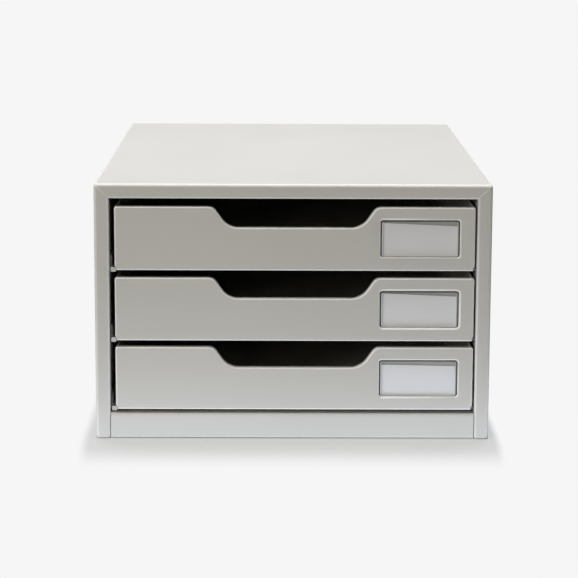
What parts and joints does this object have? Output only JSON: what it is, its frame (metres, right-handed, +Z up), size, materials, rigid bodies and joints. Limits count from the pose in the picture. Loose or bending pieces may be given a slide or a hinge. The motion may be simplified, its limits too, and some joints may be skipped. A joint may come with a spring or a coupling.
{
  "type": "desktop drawer cabinet",
  "caption": "Low desktop cabinet of folded sheet steel for letters and A4 papers, with shallow drawers on side rails, each front with a finger scoop and a framed label window.",
  "frame": {"origin": "centre of the case's footprint, on the surface that the feet stand on", "axes": "+Z up, -Y the way the drawers open, +X to the right of someone who faces the drawers"},
  "size_m": [0.277, 0.4002, 0.1814],
  "materials": {
    "case_paint": "satin light warm grey powder coat",
    "drawer_paint": "satin light warm grey powder coat",
    "clear_cover": "clear and smooth",
    "label_card": "matt plain card",
    "foot_rubber": "matt black"
  },
  "bodies": {
    "case": {"case_shell": "case_paint", "back_panel": "case_paint", "base_panel": "case_paint", "plinth": "case_paint", "side_liner_left": "case_paint", "side_liner_right": "case_paint", "foot_front_left": "foot_rubber", "foot_front_right": "foot_rubber", "foot_rear_left": "foot_rubber", "foot_rear_right": "foot_rubber", "rail_lower_left": "case_paint", "rail_lower_right": "case_paint", "rail_middle_left": "case_paint", "rail_middle_right": "case_paint", "rail_upper_left": "case_paint", "rail_upper_right": "case_paint"},
    "drawer_lower": {"drawer_lower_front": "drawer_paint", "drawer_lower_pan": "drawer_paint", "drawer_lower_label_pocket": "drawer_paint", "drawer_lower_label_cover": "clear_cover", "drawer_lower_label_card": "label_card"},
    "drawer_middle": {"drawer_middle_front": "drawer_paint", "drawer_middle_pan": "drawer_paint", "drawer_middle_label_pocket": "drawer_paint", "drawer_middle_label_cover": "clear_cover", "drawer_middle_label_card": "label_card"},
    "drawer_upper": {"drawer_upper_front": "drawer_paint", "drawer_upper_pan": "drawer_paint", "drawer_upper_label_pocket": "drawer_paint", "drawer_upper_label_cover": "clear_cover", "drawer_upper_label_card": "label_card"}
  },
  "joints": [
    {"name": "lower_drawer_slide", "type": "slide", "parent": "case", "child": "drawer_lower", "axis": [0, -1, 0], "range_m": [0, 0.28]},
    {"name": "middle_drawer_slide", "type": "slide", "parent": "case", "child": "drawer_middle", "axis": [0, -1, 0], "range_m": [0, 0.28]},
    {"name": "upper_drawer_slide", "type": "slide", "parent": "case", "child": "drawer_upper", "axis": [0, -1, 0], "range_m": [0, 0.28]}
  ]
}
